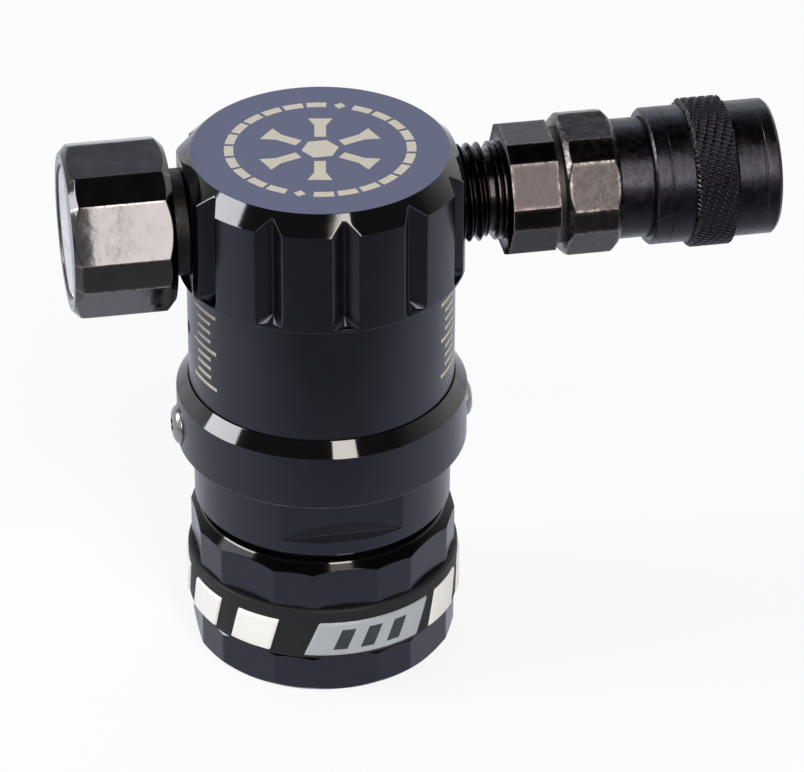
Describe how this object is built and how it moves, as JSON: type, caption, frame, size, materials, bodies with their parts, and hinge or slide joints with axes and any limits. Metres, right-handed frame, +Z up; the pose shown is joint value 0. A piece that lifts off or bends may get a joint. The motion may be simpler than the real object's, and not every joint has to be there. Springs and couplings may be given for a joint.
{
  "type": "high-pressure air regulator",
  "caption": "Tank-top air regulator with a fluted head, pressure gauge, quick coupler, spring barrel, wrench-flat neck and a turning octagonal hand nut with a rubber grip.",
  "frame": {"origin": "on the main axis, in the plane of the hand nut's foot, at the mouth of the tank thread", "axes": "+Z up along the main axis, +X along the quick coupler, -X along the gauge, -Y the front"},
  "size_m": [0.099, 0.0412, 0.0804],
  "materials": {
    "black_anodised": "gloss black anodised aluminium",
    "grip_rubber": "moulded matte black rubber",
    "white_pad": "raised white soft plastic",
    "grey_plaque": "raised grey soft plastic",
    "stainless": "turned stainless steel",
    "seal_rubber": "black nitrile seal",
    "polymer": "hard natural polymer",
    "sintered_bronze": "sintered bronze",
    "spring_steel": "bright spring steel",
    "brass": "machined brass",
    "gauge_nickel": "black nickel plate",
    "lens_glass": "clear lens",
    "dial_enamel": "white printed dial",
    "needle_paint": "red painted needle",
    "bronze_plate": "bronze-grey plated steel",
    "coupler_plate": "worn nickel-grey plated steel",
    "sleeve_oxide": "black oxide steel"
  },
  "bodies": {
    "main": {"neck": "black_anodised", "barrel": "black_anodised", "lock_collar": "black_anodised", "lock_screws": "stainless", "head": "black_anodised", "inlet_stem": "stainless", "thrust_washer": "polymer", "inlet_filter": "sintered_bronze", "filter_clip": "stainless", "inlet_seal": "seal_rubber", "neck_seal": "seal_rubber", "nozzle": "brass", "stem_seal": "seal_rubber", "spring_washers": "spring_steel", "spring_seat": "spring_steel", "barrel_seal": "seal_rubber", "head_seal": "seal_rubber", "gauge_case": "gauge_nickel", "gauge_stem": "gauge_nickel", "gauge_bezel": "gauge_nickel", "gauge_lens": "lens_glass", "gauge_dial": "dial_enamel", "bourdon_tube": "brass", "bourdon_tip": "brass", "movement_plate": "brass", "movement_posts": "brass", "coupler_nipple": "bronze_plate", "coupler_body": "coupler_plate", "body_washer": "seal_rubber", "snap_ring": "spring_steel", "sleeve_spring": "spring_steel", "locking_balls": "spring_steel", "plug_seal": "seal_rubber", "poppet_spring": "spring_steel"},
    "nut": {"hand_nut": "black_anodised", "grip_band": "grip_rubber", "band_pads": "white_pad", "band_plaques": "grey_plaque"},
    "piston": {"piston": "stainless", "valve_seat": "polymer", "piston_seal": "seal_rubber"},
    "sleeve": {"coupler_sleeve": "sleeve_oxide"},
    "poppet": {"coupler_poppet": "brass", "poppet_seal": "seal_rubber"},
    "sector": {"sector_gear": "brass"},
    "needle": {"gauge_needle": "needle_paint"}
  },
  "joints": [
    {"name": "nut_turn", "type": "hinge", "parent": "main", "child": "nut", "pos_m": [0, 0, 0.011], "axis": [0, 0, 1], "continuous": true},
    {"name": "piston_slide", "type": "slide", "parent": "main", "child": "piston", "axis": [0, 0, 1], "range_m": [-0.0012, 0], "stiffness_N_per_m": 2000, "deforming": ["spring_washers"]},
    {"name": "sleeve_slide", "type": "slide", "parent": "main", "child": "sleeve", "axis": [1, 0, 0], "range_m": [-0.003, 0], "stiffness_N_per_m": 500, "deforming": ["sleeve_spring"]},
    {"name": "poppet_slide", "type": "slide", "parent": "main", "child": "poppet", "axis": [1, 0, 0], "range_m": [-0.002, 0], "stiffness_N_per_m": 200, "deforming": ["poppet_spring"]},
    {"name": "sector_turn", "type": "hinge", "parent": "main", "child": "sector", "pos_m": [-0.0295, 0, 0.06224], "axis": [1, 0, 0], "range_deg": [-90, 0]},
    {"name": "needle_turn", "type": "hinge", "parent": "main", "child": "needle", "pos_m": [-0.0295, 0, 0.0687], "axis": [1, 0, 0], "range_deg": [0, 270]}
  ],
  "couplings": [
    {"joint": "needle_turn", "follows": "sector_turn", "ratio": -3}
  ]
}
